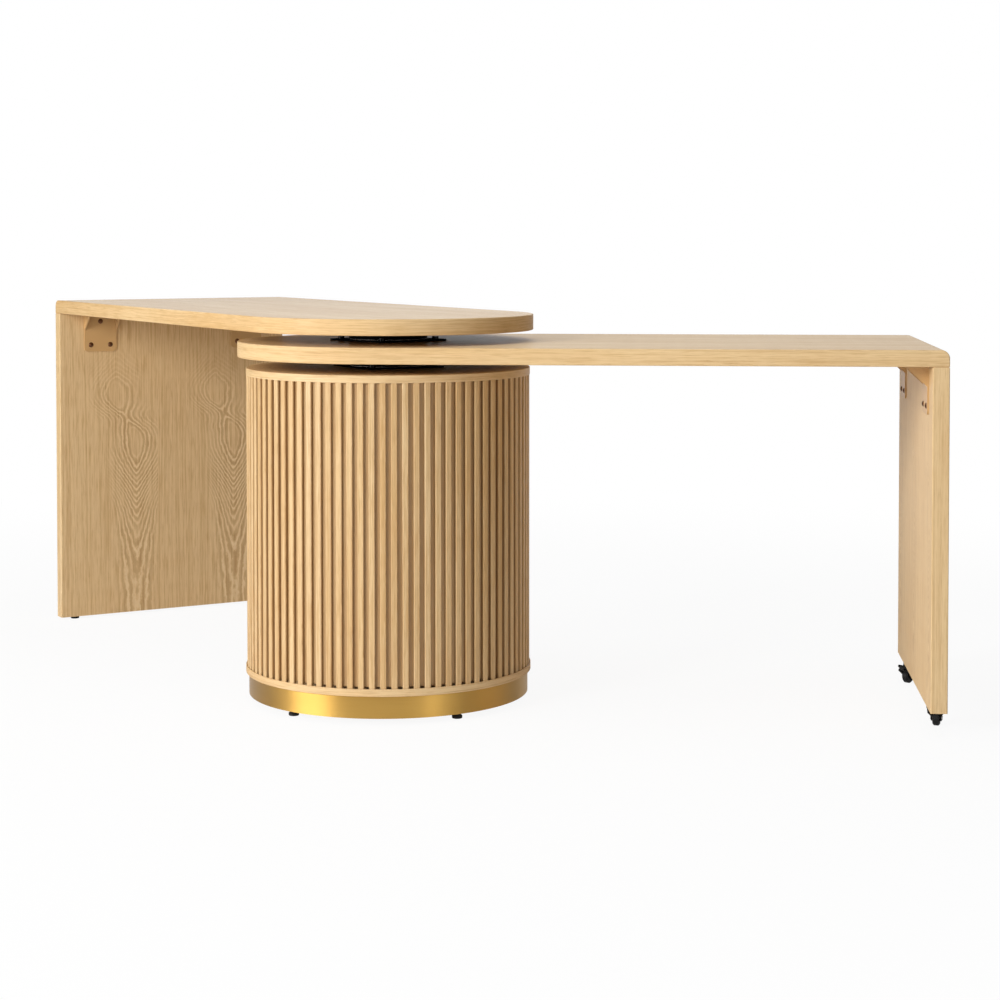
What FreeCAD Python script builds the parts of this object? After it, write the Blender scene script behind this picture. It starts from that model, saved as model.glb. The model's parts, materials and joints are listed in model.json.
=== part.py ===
import FreeCAD, Part
import math
import os
from collections import namedtuple

# Swivelling two-leaf desk on a slatted drum cupboard.
# Origin on the floor at the swivel axis, +X along the lower desk, +Z up, millimetres and degrees.

# Heights, stacked from the floor up
drum_foot_height = 12.5
plinth_height = 42.5
base_thickness = 14.0
wall_height = 573.5
drum_top_thickness = 14.5
swivel_height = 21.5
top_thickness = 31.0

# Desk leaves
top_half_width = 298.0
upper_setback = 9.5
lower_reach = 1067.0
upper_reach = 1174.0
upper_angle = 124.6
panel_thickness = 31.0
end_round = 15.5
edge_easing = 2.0
seam_chamfer = 1.6

# Drum, set in under the round ends of the leaves
leaf_overhang = 15.0
base_lip = 2.5
band_lip = 1.0
rim_chamfer = 0.8
plinth_setback = 6.0
brass_thickness = 1.5
plinth_ring_width = 50.0
plinth_recess = 2.0

# Slatted wall and sliding tambour door
slat_count = 83
slat_width = 11.6
slat_depth = 7.0
slat_easing = 1.2
backing_thickness = 5.0
backing_foot_gap = 3.0
door_slat_span = 20
door_overlap_slats = 1
jamb_share = 0.8
door_azimuth = 91.0
door_backing_thickness = 2.0
door_gap = 1.0
groove_depth = 6.0
groove_clearance = 0.5
door_lift = 0.3
pull_width = 8.0
pull_reach = 10.5
pull_height = 120.0
pull_round = 2.0
pull_middle = 360.0

# Cupboard inside the drum
cupboard_corner_angle = 42.0
board_thickness = 12.0
cupboard_clearance = 2.5
shelf_thickness = 15.0
shelf_level = 350.0
shelf_clearance = 0.5
shelf_setback = 6.0
shelf_pin_radius = 2.5
shelf_pin_length = 16.0
shelf_pin_inset = 45.0

# Levelling feet
drum_foot_setback = 22.7
drum_foot_angle = 51.9
foot_radius = 10.0
drum_foot_pad = 6.0
upper_foot_pad = 4.0
foot_pad_chamfer = 1.0
foot_collar_radius = 7.5
foot_stem_radius = 5.0
foot_stem_length = 28.0
foot_insert_radius = 8.0
foot_insert_length = 32.0
upper_panel_lift = 6.0
upper_foot_inset = 38.0

# Swivel bearings
flange_reach = 118.0
flange_corner = 5.0
flange_thickness = 3.0
lower_flange_turn = -12.0
upper_flange_turn = 0.0
turret_radius = 78.0
turret_bore_radius = 40.0
race_side_gap = 0.5
race_height = 4.5
slide_ring_thickness = 0.9
slide_ring_inset = 2.0
boss_radius = 30.0
boss_height = 5.0
pivot_radius = 8.0
pivot_head_radius = 13.0
pivot_head_height = 5.0
pivot_nut_across = 24.0
pivot_nut_height = 8.0
nut_pocket_radius = 18.0
nut_pocket_depth = 13.0
flange_bolt_count = 4
flange_bolt_circle = 94.0
flange_bolt_radius = 4.0
flange_bolt_length = 12.0
flange_bolt_head_radius = 6.5
flange_bolt_head_height = 5.0

# Corner brackets under the leaves
bracket_width = 80.0
bracket_height = 92.0
bracket_depth = 42.0
bracket_sheet = 3.0
bracket_corner = 9.0
gusset_height = 40.0
bracket_inset = 60.0
bracket_screw_margin = 16.0
bracket_upper_screw = 20.0
screw_radius = 2.5
screw_length = 18.0
screw_head_radius = 6.0
screw_head_height = 3.0

# Casters under the lower end panel
caster_height = 44.0
caster_inset = 90.0
caster_offset = 4.0
caster_trail = 14.0
left_caster_turn = 232.0
right_caster_turn = 76.0
wheel_radius = 15.0
wheel_width = 13.0
wheel_shoulder = 2.5
wheel_recess_radius = 8.5
wheel_recess_depth = 1.5
fork_gap = 14.6
fork_sheet = 2.6
fork_crown_radius = 17.0
fork_shoulder = 15.0
fork_bend_height = 6.0
fork_crown_height = 5.0
fork_boss_radius = 6.5
caster_plate_width = 22.0
caster_plate_thickness = 2.6
caster_plate_corner = 4.0
caster_plate_margin = 7.0
caster_plate_gap = 0.5
caster_pin_radius = 5.0
caster_screw_gap = 1.0
caster_screw_length = 15.0
caster_screw_head_radius = 4.0
caster_screw_head_height = 1.2
axle_radius = 2.5
axle_head_radius = 4.2
axle_head_height = 1.4
brake_reach = 32.0
brake_level = 28.0
brake_arm_width = 5.0
pedal_reach = 44.0
pedal_level = 39.5
pedal_width = 9.0
pedal_thickness = 4.0

# Clearances
running_clearance = 0.05
fixed_clearance = 0.1
face_clearance = 0.1

# Levels and radii that follow from the sizes above
plinth_top = drum_foot_height + plinth_height
base_top = plinth_top + base_thickness
drum_underside = base_top + wall_height
drum_top_level = drum_underside + drum_top_thickness
lower_underside = drum_top_level + swivel_height
lower_surface = lower_underside + top_thickness
upper_underside = lower_surface + swivel_height
upper_surface = upper_underside + top_thickness
upper_half_width = top_half_width - upper_setback
base_radius = top_half_width - leaf_overhang
slat_face_radius = base_radius - base_lip
drum_top_radius = slat_face_radius + band_lip
brass_radius = base_radius - plinth_setback
drum_foot_circle = brass_radius - drum_foot_setback
slat_pitch = 360.0 / slat_count
backing_radius = slat_face_radius - slat_depth
wall_inner_radius = backing_radius - backing_thickness
door_face_radius = wall_inner_radius - door_gap
door_backing_radius = door_face_radius - slat_depth
door_inner_radius = door_backing_radius - door_backing_thickness
groove_inner_radius = door_inner_radius - groove_clearance
groove_floor = base_top - groove_depth
opening_half = slat_pitch * door_slat_span / 2
jamb_sweep = slat_pitch * jamb_share
wall_start = door_azimuth + opening_half + jamb_sweep
wall_sweep = 360.0 - 2 * (opening_half + jamb_sweep)
carcass_radius = groove_inner_radius - cupboard_clearance
carcass_half_width = carcass_radius * math.cos(math.radians(cupboard_corner_angle))
carcass_half_depth = carcass_radius * math.sin(math.radians(cupboard_corner_angle))
cupboard_half_width = carcass_half_width - board_thickness

Leaf = namedtuple("Leaf", "name reach half underside panel_bottom angle")
lower_leaf = Leaf("lower", lower_reach, top_half_width, lower_underside, caster_height, 0.0)
upper_leaf = Leaf("upper", upper_reach, upper_half_width, upper_underside, upper_panel_lift, upper_angle)

UP = FreeCAD.Vector(0, 0, 1)
CENTRE = FreeCAD.Vector(0, 0, 0)
TOLERANCE = 0.01
LEFT = 1
RIGHT = -1


def vec(x, y, z=0.0):
    return FreeCAD.Vector(x, y, z)


def box(low, high):
    size = vec(*high) - vec(*low)
    return Part.makeBox(size.x, size.y, size.z, vec(*low))


def disc(radius, bottom, top, x=0.0, y=0.0):
    return Part.makeCylinder(radius, top - bottom, vec(x, y, bottom))


def ring(inner, outer, bottom, top, x=0.0, y=0.0):
    return disc(outer, bottom, top, x, y).cut(disc(inner, bottom, top, x, y))


def rod(radius, start, direction, length):
    return Part.makeCylinder(radius, length, start, direction)


def sector(inner, outer, bottom, top, start, sweep):
    """Piece of a tube between two radii, turned through sweep degrees from start."""
    corners = [vec(inner, 0, bottom), vec(outer, 0, bottom), vec(outer, 0, top), vec(inner, 0, top)]
    section = Part.Face(Part.makePolygon(corners + corners[:1]))
    return turned(section.revolve(CENTRE, UP, sweep), start)


def turned(shape, angle):
    copy = shape.copy()
    copy.rotate(CENTRE, UP, angle)
    return copy


def moved(shape, x, y, z=0.0):
    copy = shape.copy()
    copy.translate(vec(x, y, z))
    return copy


def cut_all(shape, tools):
    return shape.cut(Part.makeCompound(tools)) if tools else shape


def save(node, shapes):
    solids = shapes if isinstance(shapes, list) else [shapes]
    result = solids[0] if len(solids) == 1 else Part.makeCompound(solids)
    result.exportStep("parts/" + node + ".step")


# Desk leaves, modelled pointing along +X

def leaf_top(leaf):
    """Board with a half-round end about the swivel axis and a rounded-over far end."""
    half, reach, level = leaf.half, leaf.reach, leaf.underside
    surface = level + top_thickness
    arc = Part.Arc(vec(0, half, level), vec(-half, 0, level), vec(0, -half, level)).toShape()
    corners = [vec(0, -half, level), vec(reach, -half, level), vec(reach, half, level)]
    sides = Part.makePolygon(corners + [vec(0, half, level)])
    board = Part.Face(Part.Wire([arc] + sides.Edges)).extrude(UP * top_thickness)
    far_edges = [e for e in board.Edges if on_far_end(e, reach) and e.BoundBox.ZMin > surface - TOLERANCE]
    board = board.makeFillet(end_round, far_edges)
    return board.makeFillet(edge_easing, [e for e in board.Edges if is_eased(e, reach)])


def on_far_end(edge, reach):
    return edge.BoundBox.XMin > reach - TOLERANCE


def is_eased(edge, reach):
    """True on the long edges of the board and on the corners of its far end."""
    span = edge.BoundBox
    flat = span.ZLength < TOLERANCE
    across = span.XLength < TOLERANCE and span.YLength > TOLERANCE
    if flat:
        return not across
    return span.XMin > reach - end_round - TOLERANCE and span.YLength < TOLERANCE


def end_panel(leaf):
    """Upright board under the far end, its edges eased and its top edge chamfered at the seam."""
    low = (panel_face(leaf), -leaf.half, leaf.panel_bottom)
    board = box(low, (leaf.reach, leaf.half, leaf.underside))
    upright = [e for e in board.Edges if e.BoundBox.ZLength > TOLERANCE]
    board = board.makeFillet(edge_easing, upright)
    seam = [e for e in board.Edges if e.BoundBox.ZMin > leaf.underside - TOLERANCE]
    return board.makeChamfer(seam_chamfer, seam)


def panel_face(leaf):
    return leaf.reach - panel_thickness


def bracket_offset(leaf, side):
    return side * (leaf.half - bracket_inset - bracket_width / 2)


def bracket_screw_points(leaf, side):
    """Screw seats as (point, direction): three into the end panel, three into the top."""
    middle = bracket_offset(leaf, side)
    spread = bracket_width / 2 - bracket_screw_margin
    face = panel_face(leaf) - bracket_sheet
    low = leaf.underside - bracket_height + bracket_screw_margin
    high = leaf.underside - bracket_upper_screw
    tip = panel_face(leaf) - bracket_depth + bracket_screw_margin
    root = panel_face(leaf) - bracket_screw_margin
    shelf = leaf.underside - bracket_sheet
    into_panel = vec(1, 0, 0)
    return [
        (vec(face, middle - spread, low), into_panel),
        (vec(face, middle + spread, low), into_panel),
        (vec(face, middle, high), into_panel),
        (vec(tip, middle - spread + bracket_sheet, shelf), UP),
        (vec(tip, middle + spread - bracket_sheet, shelf), UP),
        (vec(root, middle, shelf), UP),
    ]


def corner_bracket(leaf, side):
    """Pressed steel angle with rounded lower corners and a triangular gusset at each side."""
    middle = bracket_offset(leaf, side)
    face = panel_face(leaf)
    underside = leaf.underside
    half = bracket_width / 2
    low = underside - bracket_height
    leg = box((face - bracket_sheet, middle - half, low), (face, middle + half, underside))
    leg = leg.makeFillet(bracket_corner, [e for e in leg.Edges if is_low_corner(e, low)])
    shelf_low = underside - bracket_sheet
    shelf = box((face - bracket_depth, middle - half, shelf_low), (face, middle + half, underside))
    corners = [
        vec(face, 0, underside),
        vec(face - bracket_depth, 0, underside),
        vec(face - bracket_depth, 0, shelf_low),
        vec(face - bracket_sheet, 0, underside - gusset_height),
        vec(face, 0, underside - gusset_height),
    ]
    web = Part.Face(Part.makePolygon(corners + corners[:1])).extrude(vec(0, bracket_sheet, 0))
    webs = [moved(web, 0, middle - half), moved(web, 0, middle + half - bracket_sheet)]
    bracket = leg.fuse([shelf] + webs).removeSplitter()
    points = bracket_screw_points(leaf, side)
    holes = [rod(screw_radius + fixed_clearance, p, d, bracket_sheet) for p, d in points]
    return cut_all(bracket, holes)


def is_low_corner(edge, low):
    return edge.BoundBox.XLength > TOLERANCE and edge.BoundBox.ZMax < low + TOLERANCE


def pan_screw(point, direction):
    """Wood screw with a domed head, the cap of a ball that meets the sheet at the full head radius."""
    ball_radius = (screw_head_radius ** 2 + screw_head_height ** 2) / (2 * screw_head_height)
    ball_depth = ball_radius - screw_head_height
    latitude = math.degrees(math.asin(ball_depth / ball_radius))
    head = Part.makeSphere(ball_radius, point + direction * ball_depth, -direction, latitude, 90, 360)
    return head.fuse(rod(screw_radius, point, direction, screw_length)).removeSplitter()


def leaf_screw_points(leaf):
    return bracket_screw_points(leaf, LEFT) + bracket_screw_points(leaf, RIGHT)


def leaf_screws(leaf):
    return [pan_screw(p, d) for p, d in leaf_screw_points(leaf)]


def leaf_screw_holes(leaf, direction):
    depth = screw_length + fixed_clearance
    radius = screw_radius + fixed_clearance
    points = leaf_screw_points(leaf)
    return [rod(radius, p, d, depth) for p, d in points if d.isEqual(direction, TOLERANCE)]


def build_leaf(leaf, top_holes, panel_holes):
    top = cut_all(leaf_top(leaf), leaf_screw_holes(leaf, UP) + top_holes)
    panel = cut_all(end_panel(leaf), leaf_screw_holes(leaf, vec(1, 0, 0)) + panel_holes)
    save(leaf.name + "_top", turned(top, leaf.angle))
    save(leaf.name + "_end_panel", turned(panel, leaf.angle))
    save(leaf.name + "_bracket_left", turned(corner_bracket(leaf, LEFT), leaf.angle))
    save(leaf.name + "_bracket_right", turned(corner_bracket(leaf, RIGHT), leaf.angle))
    save(leaf.name + "_bracket_screws", [turned(screw, leaf.angle) for screw in leaf_screws(leaf)])


# Swivel bearing between two levels, a fixed flange below and a turret above

def bolt_turns(angle):
    return [angle + 360.0 / flange_bolt_count * i for i in range(flange_bolt_count)]


def bolt_holes(bottom, top, angle):
    hole = disc(flange_bolt_radius + fixed_clearance, bottom, top, flange_bolt_circle, 0)
    return [turned(hole, turn) for turn in bolt_turns(angle)]


def square_flange(bottom, angle):
    """Square steel plate with rounded corners, which point along the bolts."""
    half = flange_reach / math.sqrt(2)
    plate = box((-half, -half, bottom), (half, half, bottom + flange_thickness))
    corners = [e for e in plate.Edges if abs(e.BoundBox.ZLength - flange_thickness) < TOLERANCE]
    return turned(plate.makeFillet(flange_corner, corners), angle + 45)


def base_flange(level, angle):
    """Plate bolted to the piece below, with a boss that carries the pivot bolt."""
    boss = disc(boss_radius, level, level + flange_thickness + boss_height)
    plate = square_flange(level, angle).fuse(boss).removeSplitter()
    bore = disc(pivot_radius + running_clearance, level, level + flange_thickness + boss_height)
    holes = bolt_holes(level, level + flange_thickness, angle)
    return cut_all(plate, [bore] + holes)


def race_ring(level):
    """Plain bearing bush round the boss, on which the bore of the turret is centred."""
    bottom = level + flange_thickness
    outer = turret_bore_radius - race_side_gap
    return ring(boss_radius + fixed_clearance, outer, bottom, bottom + race_height)


def slide_ring(level):
    bottom = level + flange_thickness
    inner = turret_bore_radius + slide_ring_inset
    return ring(inner, turret_radius - slide_ring_inset, bottom, bottom + slide_ring_thickness)


def turret(level, angle):
    """Turning half: a deep steel cup under a square plate, drilled for the pivot bolt."""
    top = level + swivel_height
    bottom = level + flange_thickness + slide_ring_thickness + face_clearance
    flange = square_flange(top - flange_thickness, angle)
    cup = disc(turret_radius, bottom, top - flange_thickness)
    roof = level + flange_thickness + boss_height + face_clearance
    shape = flange.fuse(cup).removeSplitter()
    hollow = disc(turret_bore_radius, bottom, roof)
    bore = disc(pivot_radius + fixed_clearance, roof, top)
    seat = disc(pivot_head_radius + fixed_clearance, top - pivot_head_height - face_clearance, top)
    holes = bolt_holes(top - flange_thickness, top, angle)
    return cut_all(shape, [hollow, bore, seat] + holes)


def pivot_bolt(level):
    """Pivot bolt hung from the turret, with its lock nut in a pocket of the piece below."""
    top = level + swivel_height - face_clearance
    shank_end = level - pivot_nut_height - face_clearance
    bolt = disc(pivot_head_radius, top - pivot_head_height, top)
    bolt = bolt.fuse(disc(pivot_radius, shank_end, top - pivot_head_height)).removeSplitter()
    corner = pivot_nut_across / math.sqrt(3)
    nut = hexagon(corner).extrude(UP * pivot_nut_height)
    nut = moved(nut, 0, 0, shank_end).cut(disc(pivot_radius + fixed_clearance, shank_end, level))
    return [bolt, nut]


def hexagon(corner):
    turns = [math.radians(60 * i) for i in range(7)]
    return Part.Face(Part.makePolygon([vec(corner * math.cos(t), corner * math.sin(t)) for t in turns]))


def nut_pocket(level):
    return disc(nut_pocket_radius, level - nut_pocket_depth, level)


def flange_bolt(seat, direction):
    """Socket-head bolt standing on a flange at seat, its shank running along direction."""
    head_start = seat - direction * flange_bolt_head_height
    head = rod(flange_bolt_head_radius, head_start, direction, flange_bolt_head_height)
    shank = rod(flange_bolt_radius, seat, direction, flange_thickness + flange_bolt_length)
    return head.fuse(shank).removeSplitter()


def flange_bolts(seat_level, direction, angle):
    bolt = flange_bolt(vec(flange_bolt_circle, 0, seat_level), direction)
    return [turned(bolt, turn) for turn in bolt_turns(angle)]


def holes_below(level, angle):
    return bolt_holes(level - flange_bolt_length - fixed_clearance, level, angle)


def holes_above(level, angle):
    return bolt_holes(level, level + flange_bolt_length + fixed_clearance, angle)


def swivel(name, level, base_angle, angle):
    save(name + "_base_flange", base_flange(level, base_angle))
    save(name + "_race_ring", race_ring(level))
    save(name + "_slide_ring", slide_ring(level))
    save(name + "_turret", turret(level, angle))
    save(name + "_pivot_bolt", pivot_bolt(level))
    save(name + "_base_bolts", flange_bolts(level + flange_thickness, -UP, base_angle))
    save(name + "_turret_bolts", flange_bolts(level + swivel_height - flange_thickness, UP, angle))


# Levelling feet

def levelling_foot(x, y, height, pad_height):
    """Moulded pad with a collar and a plain-turned stem that runs in its insert."""
    pad = disc(foot_radius, 0, pad_height, x, y)
    pad = pad.makeChamfer(foot_pad_chamfer, [e for e in pad.Edges if e.Closed])
    collar = disc(foot_collar_radius, pad_height - foot_pad_chamfer, height - face_clearance, x, y)
    stem = disc(foot_stem_radius, pad_height - foot_pad_chamfer, height + foot_stem_length, x, y)
    return pad.fuse([collar, stem]).removeSplitter()


def foot_insert(x, y, height):
    bore = foot_stem_radius + running_clearance
    return ring(bore, foot_insert_radius, height, height + foot_insert_length, x, y)


def foot_hole(x, y, height):
    depth = foot_insert_length + fixed_clearance
    return disc(foot_insert_radius + fixed_clearance / 2, height, height + depth, x, y)


# Drum cupboard

def drum_foot_places():
    turn = math.radians(drum_foot_angle)
    x = drum_foot_circle * math.cos(turn)
    y = drum_foot_circle * math.sin(turn)
    return [("front_left", -x, -y), ("front_right", x, -y), ("back_right", x, y), ("back_left", -x, y)]


def plinth_ring():
    outer = brass_radius - brass_thickness - fixed_clearance
    bottom = drum_foot_height
    body = ring(outer - plinth_ring_width, outer, bottom, plinth_top)
    rebate = ring(outer - plinth_recess, outer + TOLERANCE, bottom, bottom + plinth_recess)
    return cut_all(body.cut(rebate), [foot_hole(x, y, bottom) for name, x, y in drum_foot_places()])


def brass_band():
    return ring(brass_radius - brass_thickness, brass_radius, drum_foot_height, plinth_top)


def drum_base():
    """Base board with the groove that takes the wall and guides the door."""
    board = disc(base_radius, plinth_top, base_top)
    rims = [e for e in board.Edges if e.Closed and abs(e.BoundBox.XMax - base_radius) < TOLERANCE]
    board = board.makeChamfer(rim_chamfer, rims)
    outer = slat_face_radius + groove_clearance
    return board.cut(ring(groove_inner_radius, outer, groove_floor, base_top))


def drum_top():
    """Top board with a door groove underneath, drilled for the swivel."""
    board = disc(drum_top_radius, drum_underside, drum_top_level)
    rims = [e for e in board.Edges if e.Closed]
    board = board.makeChamfer(rim_chamfer, rims)
    outer = door_face_radius + groove_clearance
    groove = ring(groove_inner_radius, outer, drum_underside, drum_underside + groove_depth)
    pocket = disc(nut_pocket_radius, drum_underside, drum_top_level)
    return cut_all(board, [groove, pocket] + holes_below(drum_top_level, lower_flange_turn))


def slat(inner, outer, bottom, top):
    half = slat_width / 2
    points = [
        vec(inner, -half, bottom),
        vec(outer - slat_easing, -half, bottom),
        vec(outer, -half + slat_easing, bottom),
        vec(outer, half - slat_easing, bottom),
        vec(outer - slat_easing, half, bottom),
        vec(inner, half, bottom),
    ]
    return Part.Face(Part.makePolygon(points + points[:1])).extrude(UP * (top - bottom))


def slats(inner, outer, bottom, top, first, count):
    """Slats glued side by side, counted in pitches from the middle of the door."""
    model = slat(inner, outer, bottom, top)
    return [turned(model, door_azimuth + slat_pitch * (first + i + 0.5)) for i in range(count)]


def wall_panels():
    """Curved backing in three sheets, stopping short of the base so that each gap ends in a dark slot."""
    names = ["wall_panel_left", "wall_panel_front", "wall_panel_right"]
    sweep = wall_sweep / len(names)
    bottom = base_top + backing_foot_gap
    panel = sector(wall_inner_radius, backing_radius, bottom, drum_underside, wall_start, sweep)
    for index, name in enumerate(names):
        save(name, turned(panel, sweep * index))


def fixed_wall():
    wall_panels()
    first = door_slat_span // 2 + 1
    count = slat_count - door_slat_span - 2
    save("wall_slats", slats(backing_radius, slat_face_radius, groove_floor, drum_underside, first, count))
    left = door_azimuth + opening_half
    right = door_azimuth - opening_half - jamb_sweep
    jambs = [
        sector(wall_inner_radius, slat_face_radius, groove_floor, drum_underside, start, jamb_sweep)
        for start in (left, right)
    ]
    save("door_jambs", jambs)


def tambour_door():
    """Slats on a flexible backing, running as one curtain in the grooves of base and top."""
    bottom = groove_floor + door_lift
    top = drum_underside + groove_depth - door_lift
    count = door_slat_span + 2 * door_overlap_slats
    first = -count // 2
    sweep = slat_pitch * count
    start = door_azimuth - sweep / 2
    save("door_backing", sector(door_inner_radius, door_backing_radius, bottom, top, start, sweep))
    save("door_slats", slats(door_backing_radius, door_face_radius, bottom, top, first, count))
    half = pull_width / 2
    low = (door_face_radius, -half, pull_middle - pull_height / 2)
    pull = box(low, (door_face_radius + pull_reach, half, pull_middle + pull_height / 2))
    outer = [e for e in pull.Edges if e.BoundBox.XMin > door_face_radius + TOLERANCE]
    pull = pull.makeFillet(pull_round, outer)
    save("door_pull", turned(pull, door_azimuth - slat_pitch * (door_slat_span / 2 - 0.5)))


def shelf_pins():
    """Four pegs under the shelf, half of each sunk in a side board."""
    level = shelf_level - shelf_pin_radius
    pins = []
    for side in (LEFT, RIGHT):
        for end in (-1, 1):
            y = end * (carcass_half_depth - shelf_pin_inset)
            start = vec(side * (cupboard_half_width - shelf_pin_length / 2), y, level)
            pins.append(rod(shelf_pin_radius, start, vec(side, 0, 0), shelf_pin_length))
    return pins


def pin_holes():
    level = shelf_level - shelf_pin_radius
    depth = shelf_pin_length / 2 + fixed_clearance
    places = [(side, end) for side in (LEFT, RIGHT) for end in (-1, 1)]
    radius = shelf_pin_radius + fixed_clearance / 2
    depth_middle = carcass_half_depth - shelf_pin_inset
    return [
        rod(radius, vec(side * cupboard_half_width, end * depth_middle, level), vec(side, 0, 0), depth)
        for side, end in places
    ]


def cupboard():
    inner = cupboard_half_width
    outer = carcass_half_width
    depth = carcass_half_depth
    left = box((-outer, -depth, base_top), (-inner, depth, drum_underside))
    right = box((inner, -depth, base_top), (outer, depth, drum_underside))
    save("cupboard_side_left", cut_all(left, pin_holes()))
    save("cupboard_side_right", cut_all(right, pin_holes()))
    save("cupboard_back", box((-inner, -depth, base_top), (inner, board_thickness - depth, drum_underside)))
    low = (shelf_clearance - inner, board_thickness - depth + shelf_clearance, shelf_level)
    high = (inner - shelf_clearance, depth - shelf_setback, shelf_level + shelf_thickness)
    save("cupboard_shelf", box(low, high))
    save("shelf_pins", shelf_pins())


def drum():
    save("plinth_ring", plinth_ring())
    save("brass_band", brass_band())
    save("drum_base", drum_base())
    save("drum_top", drum_top())
    fixed_wall()
    tambour_door()
    cupboard()
    save("drum_foot_inserts", [foot_insert(x, y, drum_foot_height) for name, x, y in drum_foot_places()])
    for name, x, y in drum_foot_places():
        save("drum_foot_" + name, levelling_foot(x, y, drum_foot_height, drum_foot_pad))


# Casters, modelled at the origin with the wheel trailing along +X

def caster_plate():
    half_length = caster_screw_row() + caster_plate_margin
    half_width = caster_plate_width / 2
    bottom = caster_height - caster_plate_thickness
    plate = box((-half_width, -half_length, bottom), (half_width, half_length, caster_height))
    corners = [e for e in plate.Edges if e.BoundBox.ZLength > TOLERANCE]
    plate = plate.makeFillet(caster_plate_corner, corners)
    pin_hole = disc(caster_pin_radius + running_clearance, bottom, caster_height)
    hole = screw_radius + fixed_clearance
    screw_holes = [disc(hole, bottom, caster_height, 0, y) for y in caster_screw_rows()]
    return cut_all(plate, [pin_hole] + screw_holes)


def caster_screw_row():
    return fork_crown_radius + caster_screw_head_radius + caster_screw_gap


def caster_screw_rows():
    return (-caster_screw_row(), caster_screw_row())


def caster_screw(x, y):
    bottom = caster_height - caster_plate_thickness
    seat = vec(x, y, bottom - caster_screw_head_height)
    head = rod(caster_screw_head_radius, seat, UP, caster_screw_head_height)
    return head.fuse(rod(screw_radius, vec(x, y, bottom), UP, caster_screw_length)).removeSplitter()


def side_prism(points, low, high):
    """Prism with corners given in the caster's side view, from low to high across it."""
    corners = [vec(x, low, z) for x, z in points]
    return Part.Face(Part.makePolygon(corners + corners[:1])).extrude(vec(0, high - low, 0))


def strap(start, end, width, low, high):
    """Flat bar between two points of the side view."""
    run = vec(end[0] - start[0], end[1] - start[1]).normalize()
    x, z = -run.y * width / 2, run.x * width / 2
    points = [(start[0] + x, start[1] + z), (end[0] + x, end[1] + z)]
    points += [(end[0] - x, end[1] - z), (start[0] - x, start[1] - z)]
    return side_prism(points, low, high)


def fork_legs(crown_top):
    """Two legs, straight under the crown, then bent in to run close beside the wheel."""
    crown_bottom = crown_top - fork_crown_height
    crown_middle = crown_top - fork_crown_height / 2
    reach = math.sqrt(fork_crown_radius ** 2 - fork_shoulder ** 2)
    outline = [
        (-reach, crown_middle),
        (-reach, crown_bottom),
        (caster_trail - fork_boss_radius, wheel_radius),
        (caster_trail + fork_boss_radius, wheel_radius),
        (reach, crown_bottom),
        (reach, crown_middle),
    ]
    side = side_prism(outline, -fork_shoulder, fork_shoulder)
    boss_start = vec(caster_trail, -fork_shoulder, wheel_radius)
    side = side.fuse(rod(fork_boss_radius, boss_start, vec(0, 1, 0), 2 * fork_shoulder))
    inner = fork_gap / 2
    knee = wheel_radius + axle_head_radius + face_clearance
    bend = knee + fork_bend_height
    low = wheel_radius - fork_boss_radius
    line = [(inner, low), (inner, knee), (fork_shoulder - fork_sheet, bend), (fork_shoulder - fork_sheet, crown_top)]
    profile = line + [(y + fork_sheet, z) for y, z in reversed(line)]
    length = fork_crown_radius + caster_trail + fork_boss_radius
    legs = []
    for hand in (LEFT, RIGHT):
        corners = [vec(-fork_crown_radius, hand * y, z) for y, z in profile]
        leg = Part.Face(Part.makePolygon(corners + corners[:1])).extrude(vec(length, 0, 0))
        legs.append(leg.common(side))
    return legs


def brake_pedal():
    """Pedal on a bar behind the wheel, held by an arm on each side that starts at the axle."""
    inner = fork_gap / 2
    outer = inner + fork_sheet
    half = brake_arm_width / 2
    axle, bar = (caster_trail, wheel_radius), (brake_reach, brake_level)
    arms = [strap(axle, bar, brake_arm_width, low, low + fork_sheet) for low in (inner, -outer)]
    low = (brake_reach - half, -outer, brake_level - half)
    cross = box(low, (brake_reach + half, outer, brake_level + half))
    pedal = strap(bar, (pedal_reach, pedal_level), pedal_thickness, -pedal_width / 2, pedal_width / 2)
    return arms + [cross, pedal]


def caster_fork():
    """Crown with a pivot pin, the legs that carry the axle and the brake pedal."""
    crown_top = caster_height - caster_plate_thickness - caster_plate_gap
    crown_bottom = crown_top - fork_crown_height
    crown = disc(fork_crown_radius, crown_bottom, crown_top)
    pin = disc(caster_pin_radius, crown_bottom, caster_height - face_clearance)
    fork = crown.fuse([pin] + fork_legs(crown_top) + brake_pedal()).removeSplitter()
    width = fork_gap + 2 * fork_sheet
    start = vec(caster_trail, -width / 2, wheel_radius)
    return fork.cut(rod(axle_radius + fixed_clearance, start, vec(0, 1, 0), width))


def caster_wheel():
    """Solid wheel with bevelled shoulders, a dished face each side and an axle bore."""
    along = vec(0, 1, 0)
    start = vec(caster_trail, -wheel_width / 2, wheel_radius)
    wheel = rod(wheel_radius, start, along, wheel_width)
    wheel = wheel.makeChamfer(wheel_shoulder, [e for e in wheel.Edges if e.Closed])
    near = rod(wheel_recess_radius, start, along, wheel_recess_depth)
    far = moved(near, 0, wheel_width - wheel_recess_depth)
    bore = rod(axle_radius + running_clearance, start, along, wheel_width)
    return cut_all(wheel, [near, far, bore])


def caster_axle():
    along = vec(0, 1, 0)
    half = fork_gap / 2 + fork_sheet
    pin = rod(axle_radius, vec(caster_trail, -half, wheel_radius), along, 2 * half)
    head_start = vec(caster_trail, -half - axle_head_height, wheel_radius)
    head = rod(axle_head_radius, head_start, along, axle_head_height)
    return pin.fuse([head, moved(head, 0, 2 * half + axle_head_height)]).removeSplitter()


def caster_places():
    x = lower_reach - panel_thickness / 2 + caster_offset
    y = top_half_width - caster_inset
    return [("left", x, y, left_caster_turn), ("right", x, -y, right_caster_turn)]


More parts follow.
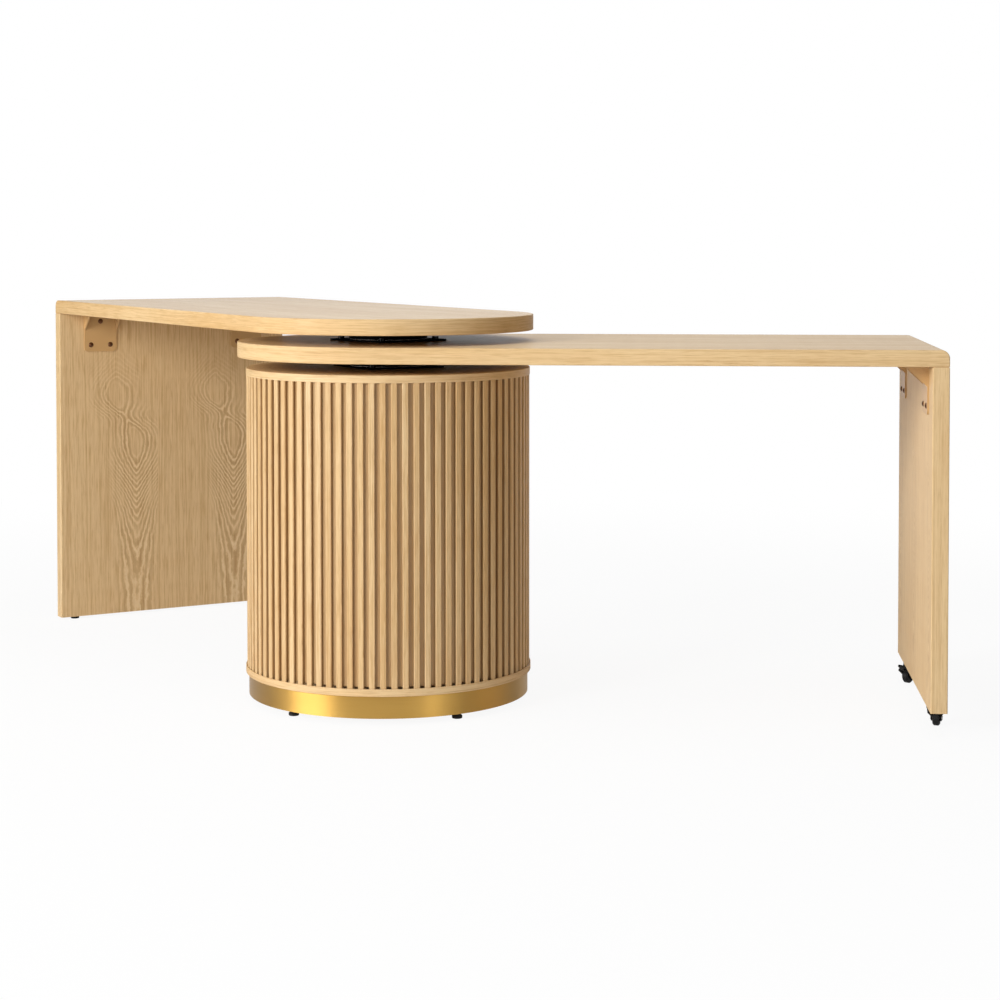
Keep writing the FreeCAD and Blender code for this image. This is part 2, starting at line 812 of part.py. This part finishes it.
def casters():
    screws = []
    for side, x, y, angle in caster_places():
        save(side + "_caster_plate", moved(caster_plate(), x, y))
        for node, shape in (("fork", caster_fork()), ("wheel", caster_wheel()), ("axle", caster_axle())):
            save(side + "_caster_" + node, moved(turned(shape, angle), x, y))
        screws += [caster_screw(x, y + row) for row in caster_screw_rows()]
    save("caster_screws", screws)


def caster_panel_holes():
    depth = caster_screw_length - caster_plate_thickness + fixed_clearance
    radius = screw_radius + fixed_clearance
    return [
        disc(radius, caster_height, caster_height + depth, x, y + row)
        for side, x, y, angle in caster_places()
        for row in caster_screw_rows()
    ]


# Upper leaf feet, placed along the end panel before the leaf is turned

def upper_foot_places():
    x = upper_reach - panel_thickness / 2
    y = upper_half_width - upper_foot_inset
    return [("left", x, y), ("right", x, -y)]


def upper_feet():
    inserts = []
    for side, x, y in upper_foot_places():
        foot = levelling_foot(x, y, upper_panel_lift, upper_foot_pad)
        save("upper_foot_" + side, turned(foot, upper_angle))
        inserts.append(turned(foot_insert(x, y, upper_panel_lift), upper_angle))
    save("upper_foot_inserts", inserts)


def main():
    os.makedirs("parts", exist_ok=True)
    drum()
    swivel("lower_swivel", drum_top_level, lower_flange_turn, 0)
    lower_holes = holes_above(lower_underside, 0) + holes_below(lower_surface, upper_flange_turn)
    lower_holes.append(nut_pocket(lower_surface))
    build_leaf(lower_leaf, lower_holes, caster_panel_holes())
    casters()
    swivel("upper_swivel", lower_surface, upper_flange_turn, upper_angle)
    foot_holes = [foot_hole(x, y, upper_panel_lift) for side, x, y in upper_foot_places()]
    build_leaf(upper_leaf, holes_above(upper_underside, 0), foot_holes)
    upper_feet()
    print("overall height", upper_surface)


main()
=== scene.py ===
import json
import math
from collections import namedtuple

import bpy
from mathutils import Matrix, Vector

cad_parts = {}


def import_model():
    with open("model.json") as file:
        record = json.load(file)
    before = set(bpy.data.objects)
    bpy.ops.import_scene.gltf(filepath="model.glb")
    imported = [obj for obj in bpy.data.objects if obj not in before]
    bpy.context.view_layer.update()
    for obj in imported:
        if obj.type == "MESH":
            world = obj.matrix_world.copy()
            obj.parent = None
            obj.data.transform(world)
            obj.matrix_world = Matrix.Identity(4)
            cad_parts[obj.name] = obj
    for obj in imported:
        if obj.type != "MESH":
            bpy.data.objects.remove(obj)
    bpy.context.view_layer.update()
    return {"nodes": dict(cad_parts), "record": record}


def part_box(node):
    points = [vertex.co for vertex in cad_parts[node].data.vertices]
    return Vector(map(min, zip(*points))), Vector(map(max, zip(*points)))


# Finishes, lamps and camera for a two-leaf desk that turns on a slatted drum.
# Lengths are in metres and angles in degrees unless a name says otherwise.

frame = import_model()
nodes = frame["nodes"]

# Camera
camera_place = (0.5699, -4.3345, 0.9229)
camera_yaw = 4.364
camera_pitch = 2.0
camera_lens = 79.14
camera_sensor = 36.0
camera_shift_x = -0.0082
camera_shift_y = -0.1906

# Directions, counts and depths that the grain follows
upper_turn = 124.6
upper_setback = 0.0095
lower_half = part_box("lower_top")[1].y
upper_half = lower_half - upper_setback
slat_count = 83
slat_pitch = math.radians(360.0 / slat_count)
door_azimuth = 91.0
drum_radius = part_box("drum_base")[1].x
slat_face = -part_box("wall_slats")[0].y
# Depths below the slat face over which painted shade darkens the slats' side walls, from none to full
groove_shade_start = 0.0010
groove_shade_full = 0.0055
edge_band = 0.0025

# Layers of the oak's grain: waves per metre across and along it, detail and roughness of the noise,
# the two levels of it between which the layer appears, and how strongly the layer is drawn
Layer = namedtuple("Layer", "across along detail roughness low high share")
tone_layer = Layer(9.0, 1.3, 3.0, 0.50, 0.24, 0.76, 1.0)
growth_layer = Layer(210.0, 1.6, 3.0, 0.65, 0.44, 0.66, 0.45)
streak_layer = Layer(430.0, 14.0, 3.0, 0.60, 0.48, 0.66, 0.50)
fleck_layer = Layer(340.0, 17.0, 2.0, 0.60, 0.54, 0.68, 0.55)
pore_layer = Layer(1500.0, 26.0, 2.0, 0.60, 0.56, 0.70, 0.30)
patch_layer = Layer(40.0, 12.0, 2.0, 0.50, 0.15, 0.50, 1.0)
sway_across = 7.0
sway_along = 1.1
sway_reach = 0.016
slat_shift = 9.0
slat_share = 0.34
# How strongly painted shade darkens the side walls between the slats
groove_shade_share = 0.75
oak_roughness = (0.42, 0.54)
oak_relief = 0.00025
pore_dip = -0.7
growth_rise = 0.5
relief_strength = 0.5

# Veneer figure on the end panels: equal leaves, each with an eye, a knot above it and long vees below
veneer_leaf = 0.254
veneer_seam = 0.044
lower_veneer_shift = 0.1
eye_across = 0.055
eye_height = 0.420
eye_round = 0.006
eye_rings = (0.8, 2.0)
ring_width = 0.010
flank_reach = 0.085
flank_core = 0.3
flame_rings = 17.0
flame_fade = (0.85, 1.1)
vee_rings = 14.0
vee_reach = 0.165
vee_crowding = 0.0030
crowded_at = 0.130
crowded_reach = 0.070
vee_spread = 0.006
knot_offset = 0.053
knot_rise = 0.117
knot_fan = 0.1
waist_rings = 2.2
waist_reach = 0.026
arch_rings = 8.0
arch_reach = 0.075

# Lines of the figure's rings
ring_wander = 1.3
wander_across = 70.0
wander_along = 30.0
wander_detail = 4.0
wander_roughness = 0.65
faintest_ring = 0.5
dark_phase = (0.18, 0.36)
dark_share = 0.42
light_phase = (0.20, 0.06)
light_share = 0.85

# Clear coat on the flat faces of the leaves
upper_coat = 0.35
lower_coat = 0.20
leaf_coat_roughness = 0.10

# Brushed brass
brush_around = 9.0
brush_up = 2600.0
tarnish_around = 5.0
tarnish_up = 14.0
brass_roughness = (0.38, 0.50)
brush_relief = 0.00008
brush_strength = 0.25
lacquer = 0.4
lacquer_roughness = 0.35

# Painted, plated and moulded finishes
cloud_waves = 18.0
speckle_relief = 0.0001
plating_relief = 0.00005
smoother = 0.05
rougher = 0.07

# Studio
ambient = 0.34
floor_half = 30.0
floor_near = 1.0
floor_far = 3.5
floor_seen = 0.92
floor_mirrored = 0.20
paper_waves = 40.0
paper_roughness = 0.9
flag_foot = 0.02
Lamp = namedtuple("Lamp", "name place target width height watts diffuse glossy")
lamps = [
    Lamp("front", (-3.15, -4.5, 2.3), (0.2, 0.0, 0.5), 1.5, 1.7, 205, True, False),
    Lamp("side", (-7.2, -3.4, 1.6), (0.2, 0.0, 0.4), 2.6, 3.4, 175, True, False),
    Lamp("sheen", (-4.2, -2.75, 1.2), (0.0, 0.0, 0.4), 3.0, 2.2, 200, False, True),
    Lamp("glint", (3.4, -3.7, 1.2), (0.0, 0.0, 0.4), 0.9, 1.6, 24, False, True),
    Lamp("top", (0.2, -0.4, 3.6), (0.2, 0.0, 0.0), 3.5, 2.5, 32, True, True),
]


def srgb(red, green, blue):
    """Linear colour from 8-bit display values."""
    parts = [value / 255 for value in (red, green, blue)]
    linear = [p / 12.92 if p <= 0.04045 else ((p + 0.055) / 1.055) ** 2.4 for p in parts]
    return (*linear, 1.0)


# Colours
white = srgb(255, 255, 255)
oak_light = srgb(238, 213, 170)
oak_pale = srgb(227, 197, 150)
oak_mid = srgb(211, 173, 120)
oak_deep = srgb(184, 142, 88)
oak_pore = srgb(148, 104, 56)
# Painted shade for the side walls between the slats
oak_groove_shade = srgb(118, 80, 42)
oak_line = srgb(152, 108, 58)
brass_light = srgb(210, 170, 90)
brass_dark = srgb(174, 133, 56)
black_light = srgb(20, 20, 21)
black_dark = srgb(8, 8, 9)
# Deeper black: painted shade for the swivel hubs in the gaps between leaves and drum
black_deep = srgb(3, 3, 3)
zinc_light = srgb(214, 214, 212)
zinc_dark = srgb(176, 177, 178)
nylon_light = srgb(230, 228, 220)
nylon_dark = srgb(210, 207, 197)
paint_light = srgb(208, 170, 118)
paint_dark = srgb(196, 157, 104)
bronze_light = srgb(128, 86, 54)
bronze_dark = srgb(70, 46, 30)
floor_white = srgb(246, 246, 246)
felt_dark = srgb(40, 38, 36)
felt_light = srgb(60, 57, 54)


class Graph:
    """One material's node tree, with short calls for the nodes that the finishes share."""

    def __init__(self, name):
        self.material = bpy.data.materials.new(name)
        self.material.use_nodes = True
        self.nodes = self.material.node_tree.nodes
        self.links = self.material.node_tree.links
        self.shader = self.nodes["Principled BSDF"]

    def plug(self, socket, value):
        """Links a socket to another one, or sets it to a plain value."""
        if isinstance(value, bpy.types.NodeSocket):
            self.links.new(value, socket)
        else:
            socket.default_value = value

    def make(self, kind, *values, **settings):
        node = self.nodes.new("ShaderNode" + kind)
        for key, setting in settings.items():
            setattr(node, key, setting)
        for socket, value in zip(node.inputs, values):
            self.plug(socket, value)
        return node

    def maths(self, operation, *values):
        return self.make("Math", *values, operation=operation).outputs[0]

    def add(self, first, second):
        return self.maths("ADD", first, second)

    def times(self, first, second):
        return self.maths("MULTIPLY", first, second)

    def at_least_zero(self, value):
        return self.maths("MAXIMUM", value, 0.0)

    def length(self, x, y):
        return self.maths("SQRT", self.add(self.times(x, x), self.times(y, y)))

    def hill(self, x):
        """Smooth bump that is 1 at the centre and fades about one unit away from it."""
        return self.maths("EXPONENT", self.times(self.times(x, x), -1.0))

    def vector(self, x, y, z):
        return self.make("CombineXYZ", x, y, z).outputs[0]

    def axes(self, vector):
        return self.make("SeparateXYZ", vector).outputs

    def stretched(self, vector, x, y, z=1.0):
        return self.make("VectorMath", vector, (x, y, z), operation="MULTIPLY").outputs[0]

    def noise(self, vector, detail=2.0, roughness=0.5):
        node = self.make("TexNoise", vector)
        node.inputs["Scale"].default_value = 1.0
        node.inputs["Detail"].default_value = detail
        node.inputs["Roughness"].default_value = roughness
        return node.outputs[0]

    def chance(self, number):
        """A value from 0 to 1 that differs from one whole number to the next."""
        node = self.make("TexWhiteNoise", noise_dimensions="1D")
        self.plug(node.inputs["W"], number)
        return node.outputs[0]

    def ease(self, value, low, high):
        """0 below low, 1 above high, smooth between them."""
        return self.make("MapRange", value, low, high, interpolation_type="SMOOTHSTEP").outputs[0]

    def between(self, value, low, high):
        """Moves a 0 to 1 value to the range from low to high."""
        return self.make("MapRange", value, 0.0, 1.0, low, high).outputs[0]

    def mix(self, share, first, second):
        node = self.make("Mix", data_type="RGBA")
        self.plug(node.inputs["Factor"], share)
        self.plug(node.inputs[6], first)
        self.plug(node.inputs[7], second)
        return node.outputs[2]

    def halves(self, first, second):
        """Mean of two noises."""
        return self.add(self.times(first, 0.5), self.times(second, 0.5))

    def place(self):
        """Points of the piece in its own frame, which travels with it."""
        return self.make("TexCoord").outputs["Object"]

    def bump(self, height, distance, strength):
        node = self.make("Bump")
        node.inputs["Strength"].default_value = strength
        node.inputs["Distance"].default_value = distance
        self.plug(node.inputs["Height"], height)
        self.plug(self.shader.inputs["Normal"], node.outputs[0])

    def surface(self, colour, roughness):
        self.plug(self.shader.inputs["Base Color"], colour)
        self.plug(self.shader.inputs["Roughness"], roughness)

    def constants(self, **values):
        for name, value in values.items():
            self.shader.inputs[name.replace("_", " ")].default_value = value


# Oak, with its grain along a chosen direction

plain_grain = (None, None, None, None, 0.0)
Grain = namedtuple("Grain", "along across seed groove rings inside coat", defaults=plain_grain)


def turned_axes(g, turn):
    turn_node = g.make("VectorRotate", g.place(), rotation_type="Z_AXIS")
    turn_node.inputs["Angle"].default_value = -math.radians(turn)
    return g.axes(turn_node.outputs[0])


def top_grain(turn, half, coat):
    """Grain along a leaf, with an edge band whose grain bends round the end."""
    def build(g):
        x, y, z = turned_axes(g, turn)
        behind = g.at_least_zero(g.times(x, -1.0))
        edge = g.ease(g.length(behind, y), half - edge_band, half - edge_band / 2)
        bend = g.times(g.maths("ARCTAN2", behind, g.maths("ABSOLUTE", y)), -half)
        along = g.between(edge, x, g.add(g.at_least_zero(x), bend))
        return Grain(along, g.between(edge, y, z), coat=g.between(edge, coat, 0.0))
    return build


def panel_grain(turn, half, shift):
    """Upright grain with a flame figure that repeats in each leaf of veneer, and plain edges."""
    def build(g):
        x, y, z = turned_axes(g, turn)
        edge = g.ease(g.maths("ABSOLUTE", y), half - edge_band, half - edge_band / 2)
        moved = g.add(y, shift - veneer_seam)
        leaf = g.times(g.maths("FRACT", g.times(moved, 1 / veneer_leaf)), veneer_leaf)
        rings, inside = flame(g, g.add(leaf, -eye_across), g.add(z, -eye_height))
        drawn = g.times(inside, g.between(edge, 1.0, 0.0))
        return Grain(z, g.between(edge, y, x), rings=rings, inside=drawn)
    return build


def flame(g, across, up):
    """Growth rings counted outwards from an eye, and a mask that fades beside and above the figure."""
    above = g.at_least_zero(up)
    below = g.at_least_zero(g.times(up, -1.0))
    lean = g.times(g.ease(above, 0.0, knot_rise), knot_offset)
    off = g.maths("SUBTRACT", across, lean)
    vees = gathered(g, below, vee_reach, vee_rings)
    arches = gathered(g, g.at_least_zero(g.add(above, -knot_rise)), arch_reach, arch_rings)
    waist = g.times(g.hill(g.times(g.add(above, -knot_rise / 2), 1 / waist_reach)), waist_rings)
    rings = g.add(g.add(flanks(g, off, lean, below), vees), g.add(arches, waist))
    beside = g.ease(g.maths("ABSOLUTE", off), flank_reach, flank_core * flank_reach)
    capped = g.ease(above, knot_rise + 2 * arch_reach, 0.0)
    pointed = g.ease(rings, flame_fade[1] * flame_rings, flame_fade[0] * flame_rings)
    plain_eye = g.ease(rings, *eye_rings)
    return rings, g.times(g.times(beside, plain_eye), g.times(capped, pointed))


def flanks(g, off, lean, below):
    """Rings passed on the way sideways: wider at the knot's fan and the foot, closer where the vees crowd."""
    fan = g.times(g.ease(off, ring_width, -ring_width), g.times(lean, knot_fan))
    taper = g.times(g.ease(below, vee_reach, 2 * vee_reach), vee_spread)
    crowd = g.times(g.hill(g.times(g.add(below, -crowded_at), 1 / crowded_reach)), -vee_crowding)
    width = g.add(g.add(fan, taper), g.add(crowd, ring_width))
    return g.maths("DIVIDE", g.length(off, eye_round), width)


def gathered(g, distance, reach, count):
    """Rings passed on the way out: close together at the middle of the way, then ever further apart."""
    return g.between(g.hill(g.times(distance, 1 / reach)), count, 0.0)


def slat_grain(g):
    """Upright grain that differs from slat to slat, with painted shade darkening the side walls between them.
    """
    x, y, z = g.axes(g.place())
    around = g.add(g.maths("ARCTAN2", y, x), -math.radians(door_azimuth) + 2 * math.pi)
    seed = g.chance(g.maths("FLOOR", g.times(around, 1 / slat_pitch)))
    depth = g.length(x, y)
    across = g.add(g.times(around, drum_radius), depth)
    groove = g.ease(depth, slat_face - groove_shade_start, slat_face - groove_shade_full)
    return Grain(g.add(z, seed), across, seed, groove)


def wall_grain(g):
    """Upright grain on the curved sheets behind the slats."""
    x, y, z = g.axes(g.place())
    return Grain(z, g.times(g.maths("ARCTAN2", y, x), drum_radius))


def rim_grain(g):
    """Grain bent round the drum."""
    x, y, z = g.axes(g.place())
    around = g.times(g.maths("ARCTAN2", y, x), drum_radius)
    return Grain(around, g.add(z, g.length(x, y)))


def box_grain(g):
    """Upright grain on the boards inside the drum."""
    x, y, z = g.axes(g.place())
    return Grain(z, g.add(x, y))


def layer_noise(g, layer, flat):
    return g.noise(g.stretched(flat, layer.across, layer.along), layer.detail, layer.roughness)


def layer_share(g, layer, noise, figure):
    """How much of a layer shows at each point."""
    return g.times(g.ease(noise, layer.low, layer.high), layer.share * figure)


def oak(name, grain_of, figure=1.0, painted_shade=0.0, gloss=0.35, pale=0.0):
    """Satin oak veneer: broad tone, growth lines, streaks, pale flecks and pores."""
    g = Graph(name)
    grain = grain_of(g)
    shift = 0.0 if grain.seed is None else g.times(grain.seed, slat_shift)
    flat = g.vector(grain.across, grain.along, shift)
    sway = g.times(g.add(g.noise(g.stretched(flat, sway_across, sway_along)), -0.5), sway_reach)
    lines = g.vector(g.add(grain.across, sway), grain.along, shift)
    tone = layer_noise(g, tone_layer, flat)
    growth = layer_noise(g, growth_layer, lines)
    streaks = layer_noise(g, streak_layer, flat)
    flecks = layer_noise(g, fleck_layer, lines)
    pores = g.ease(layer_noise(g, pore_layer, lines), pore_layer.low, pore_layer.high)
    # pale moves the tone toward the paler oak; where it is set, it is painted light for pieces that want more
    # light
    base = g.mix(g.ease(tone, tone_layer.low - pale, tone_layer.high - pale), oak_mid, oak_pale)
    base = g.mix(layer_share(g, growth_layer, growth, figure), base, oak_deep)
    base = g.mix(layer_share(g, streak_layer, streaks, figure), base, oak_deep)
    base = g.mix(layer_share(g, fleck_layer, flecks, figure), base, oak_pale)
    if grain.rings is not None:
        base = ringed(g, base, grain, flat, figure)
    base = g.mix(g.times(pores, pore_layer.share), base, oak_pore)
    if grain.seed is not None:
        base = g.mix(g.times(grain.seed, slat_share), base, oak_deep)
        # Painted shade on the slats' side walls, deeper behind the slat face
        base = g.mix(g.times(grain.groove, groove_shade_share), base, oak_groove_shade)
    # Painted shade: the whole piece darkened toward the pore colour
    if painted_shade > 0.0:
        base = g.mix(painted_shade, base, oak_pore)
    g.surface(base, g.between(growth, *oak_roughness))
    g.bump(g.add(g.times(pores, pore_dip), g.times(growth, growth_rise)), oak_relief, relief_strength)
    g.plug(g.shader.inputs["Coat Weight"], grain.coat)
    g.constants(Specular_IOR_Level=gloss, Coat_Roughness=leaf_coat_roughness)
    return g.material


def ringed(g, base, grain, flat, figure):
    """Growth rings of a flame figure: thin pale lines with darker ones beside them."""
    waves = g.stretched(flat, wander_across, wander_along)
    wander = g.add(g.noise(waves, wander_detail, wander_roughness), -0.5)
    count = g.add(grain.rings, g.times(wander, ring_wander))
    strength = g.between(g.chance(g.maths("FLOOR", count)), faintest_ring, 1.0)
    patchy = layer_share(g, patch_layer, layer_noise(g, patch_layer, flat), 1.0)
    drawn = g.times(g.times(grain.inside, patchy), strength)
    phase = g.maths("ABSOLUTE", g.add(g.maths("FRACT", count), -0.5))
    dark = g.times(g.ease(phase, *dark_phase), g.times(drawn, dark_share * figure))
    light = g.times(g.ease(phase, *light_phase), g.times(drawn, light_share * figure))
    return g.mix(light, g.mix(dark, base, oak_line), oak_light)


# Other finishes

def brass(name):
    """Satin brass, brushed round the plinth and lacquered."""
    g = Graph(name)
    x, y, z = g.axes(g.place())
    around = g.times(g.maths("ARCTAN2", y, x), drum_radius)
    flat = g.vector(around, z, 0.0)
    brushed = g.noise(g.stretched(flat, brush_around, brush_up), 3.0, 0.7)
    tarnish = g.noise(g.stretched(flat, tarnish_around, tarnish_up))
    colour = g.mix(g.halves(brushed, tarnish), brass_dark, brass_light)
    g.surface(colour, g.between(brushed, *brass_roughness))
    g.bump(brushed, brush_relief, brush_strength)
    g.plug(g.shader.inputs["Tangent"], g.make("Tangent", direction_type="RADIAL", axis="Z").outputs[0])
    g.constants(Metallic=1.0, Anisotropic=0.85, Anisotropic_Rotation=0.25)
    g.constants(Coat_Weight=lacquer, Coat_Roughness=lacquer_roughness)
    return g.material


def speckled(name, dark, light, roughness, scale=900.0, relief=speckle_relief, metallic=0.0, gloss=0.5):
    """Fine even texture for paint, moulded plastic, plate and rubber."""
    g = Graph(name)
    place = g.place()
    grain = g.noise(g.stretched(place, scale, scale, scale), 3.0, 0.6)
    cloud = g.noise(g.stretched(place, cloud_waves, cloud_waves, cloud_waves))
    colour = g.mix(g.halves(grain, cloud), dark, light)
    g.surface(colour, g.between(grain, roughness - smoother, roughness + rougher))
    g.bump(grain, relief, relief_strength)
    g.constants(Metallic=metallic, Specular_IOR_Level=gloss)
    return g.material


def dress(material, *names):
    for name in names:
        mesh = nodes[name].data
        mesh.materials.clear()
        mesh.materials.append(material)


def dress_slot(material, slot):
    """Gives every node of one record slot the same finish."""
    dress(material, *[part["node"] for part in frame["record"]["subparts"] if part["material_slot"] == slot])


def wooden_finishes():
    upper_leaf = top_grain(upper_turn, upper_half, upper_coat)
    lower_leaf = top_grain(0.0, lower_half, lower_coat)
    upper_panel = panel_grain(upper_turn, upper_half, 0.0)
    lower_panel = panel_grain(0.0, lower_half, lower_veneer_shift)
    dress_slot(oak("cupboard_oak", box_grain, figure=0.7), "cupboard_oak")
    dress(oak("upper_top_oak", upper_leaf, figure=0.8, gloss=0.1), "upper_top")
    # pale on the lower leaf and both end panels is painted light: paler copies of the same oak in place of
    # light
    dress(oak("lower_top_oak", lower_leaf, figure=0.8, gloss=0.1, pale=0.1), "lower_top")
    dress(oak("upper_panel_oak", upper_panel, pale=0.4), "upper_end_panel")
    dress(oak("lower_panel_oak", lower_panel, figure=0.6, gloss=0.2, pale=0.2), "lower_end_panel")
    dress(oak("slat_oak", slat_grain), "wall_slats", "door_slats", "door_jambs", "door_pull")
    dress(oak("rim_oak", rim_grain, figure=0.8), "drum_top", "drum_base")
    # Painted shade: the backing behind the slats is darkened to stand in for the shade in the gaps
    dress_slot(oak("backing_oak", wall_grain, figure=0.6, painted_shade=0.45), "backing")


def other_finishes():
    zinc = speckled("zinc_plate", zinc_dark, zinc_light, 0.28, 260.0, plating_relief, metallic=1.0)
    bronze = speckled("bronze_screws", bronze_dark, bronze_light, 0.34, 700.0, plating_relief, metallic=0.7)
    # The hubs and their base flanges are black; their deeper, duller black than the other steel is painted
    # shade for the gaps between leaves and drum
    hub_black_shaded = speckled("hub_black_shaded", black_deep, black_dark, 0.6, gloss=0.05)
    dress_slot(brass("satin_brass"), "brass")
    dress_slot(speckled("black_steel", black_dark, black_light, 0.22, gloss=0.15), "black_steel")
    for swivel in ("lower_swivel", "upper_swivel"):
        dress(hub_black_shaded, swivel + "_turret", swivel + "_base_flange")
    dress_slot(zinc, "zinc")
    dress_slot(speckled("nylon", nylon_dark, nylon_light, 0.45), "nylon")
    dress_slot(speckled("bracket_paint", paint_dark, paint_light, 0.42, scale=1400.0), "bracket_paint")
    dress_slot(bronze, "bronze_screws")
    dress_slot(speckled("foot_plastic", black_dark, black_light, 0.42, gloss=0.3), "foot_plastic")
    dress_slot(speckled("wheel_rubber", black_dark, black_light, 0.5, scale=600.0, gloss=0.3), "wheel_rubber")


# Floor, light and camera

def bright_rays(tree):
    """1 for rays from the camera or off gloss and glass, 0 for the rays that light the desk."""
    path = tree.nodes.new("ShaderNodeLightPath")
    total = path.outputs["Is Camera Ray"]
    for name in ("Is Glossy Ray", "Is Transmission Ray"):
        join = tree.nodes.new("ShaderNodeMath")
        join.operation = "MAXIMUM"
        tree.links.new(total, join.inputs[0])
        tree.links.new(path.outputs[name], join.inputs[1])
        total = join.outputs[0]
    return total


def world():
    """White to look at, softer where it lights the desk."""
    scene_world = bpy.data.worlds.new("studio")
    bpy.context.scene.world = scene_world
    scene_world.use_nodes = True
    tree = scene_world.node_tree
    strength = tree.nodes.new("ShaderNodeMapRange")
    strength.inputs["To Min"].default_value = ambient
    strength.inputs["To Max"].default_value = 1.0
    tree.links.new(bright_rays(tree), strength.inputs["Value"])
    background = tree.nodes["Background"]
    background.inputs["Color"].default_value = white
    tree.links.new(strength.outputs[0], background.inputs["Strength"])


def sheet(name, corners, material):
    """Flat four-cornered surface that belongs to the studio."""
    mesh = bpy.data.meshes.new(name)
    mesh.from_pydata(corners, [], [(0, 1, 2, 3)])
    mesh.materials.append(material)
    plane = bpy.data.objects.new(name, mesh)
    bpy.context.scene.collection.objects.link(plane)
    return plane


def floor():
    """Pale floor that keeps a shadow near the desk, light to look at and deeper in reflections."""
    g = Graph("floor_paper")
    fibre = g.noise(g.stretched(g.place(), paper_waves, paper_waves, paper_waves), 3.0)
    g.surface(g.mix(fibre, floor_white, white), paper_roughness)
    glow = g.make("Emission", white, 1.0)
    reach = g.make("VectorMath", g.place(), operation="LENGTH").outputs["Value"]
    away = g.ease(reach, floor_near, floor_far)
    seen = g.make("LightPath").outputs["Is Camera Ray"]
    whiteness = g.between(seen, g.between(away, floor_mirrored, 1.0), g.between(away, floor_seen, 1.0))
    share = g.times(bright_rays(g.material.node_tree), whiteness)
    blend = g.make("MixShader", share, g.shader.outputs[0], glow.outputs[0])
    g.links.new(blend.outputs[0], g.nodes["Material Output"].inputs["Surface"])
    signs = ((-1, -1), (1, -1), (1, 1), (-1, 1))
    sheet("floor", [(x * floor_half, y * floor_half, 0.0) for x, y in signs], g.material)


def flag(name, start, end, height, material):
    """Dark upright card beside the desk, which only its reflections and shading show."""
    low = [(*start, flag_foot), (*end, flag_foot)]
    high = [(*end, height), (*start, height)]
    card = sheet(name, low + high, material)
    card.visible_camera = False
    card.visible_shadow = False


def hang(lamp):
    """Soft rectangular lamp that the camera doesn't see."""
    light = bpy.data.lights.new(lamp.name, "AREA")
    light.shape = "RECTANGLE"
    light.size = lamp.width
    light.size_y = lamp.height
    light.energy = lamp.watts
    holder = bpy.data.objects.new(lamp.name, light)
    aim = Vector(lamp.target) - Vector(lamp.place)
    holder.location = lamp.place
    holder.rotation_euler = aim.to_track_quat("-Z", "Y").to_euler()
    holder.visible_camera = False
    holder.visible_diffuse = lamp.diffuse
    holder.visible_glossy = lamp.glossy
    bpy.context.scene.collection.objects.link(holder)


def camera():
    lens = bpy.data.cameras.new("camera")
    lens.lens = camera_lens
    lens.sensor_width = camera_sensor
    lens.sensor_fit = "HORIZONTAL"
    lens.shift_x = camera_shift_x
    lens.shift_y = camera_shift_y
    holder = bpy.data.objects.new("camera", lens)
    holder.location = camera_place
    holder.rotation_euler = (math.radians(90.0 - camera_pitch), 0.0, math.radians(camera_yaw))
    bpy.context.scene.collection.objects.link(holder)
    bpy.context.scene.camera = holder


def studio():
    bpy.context.scene.view_settings.view_transform = "Standard"
    world()
    floor()
    felt = speckled("flag_felt", felt_dark, felt_light, 0.9)
    flag("flag_right", (2.4, -1.2), (2.4, 2.6), 2.6, felt)
    flag("flag_left", (-2.6, 0.2), (-1.6, 2.6), 1.6, felt)
    for lamp in lamps:
        hang(lamp)
    camera()


wooden_finishes()
other_finishes()
studio()
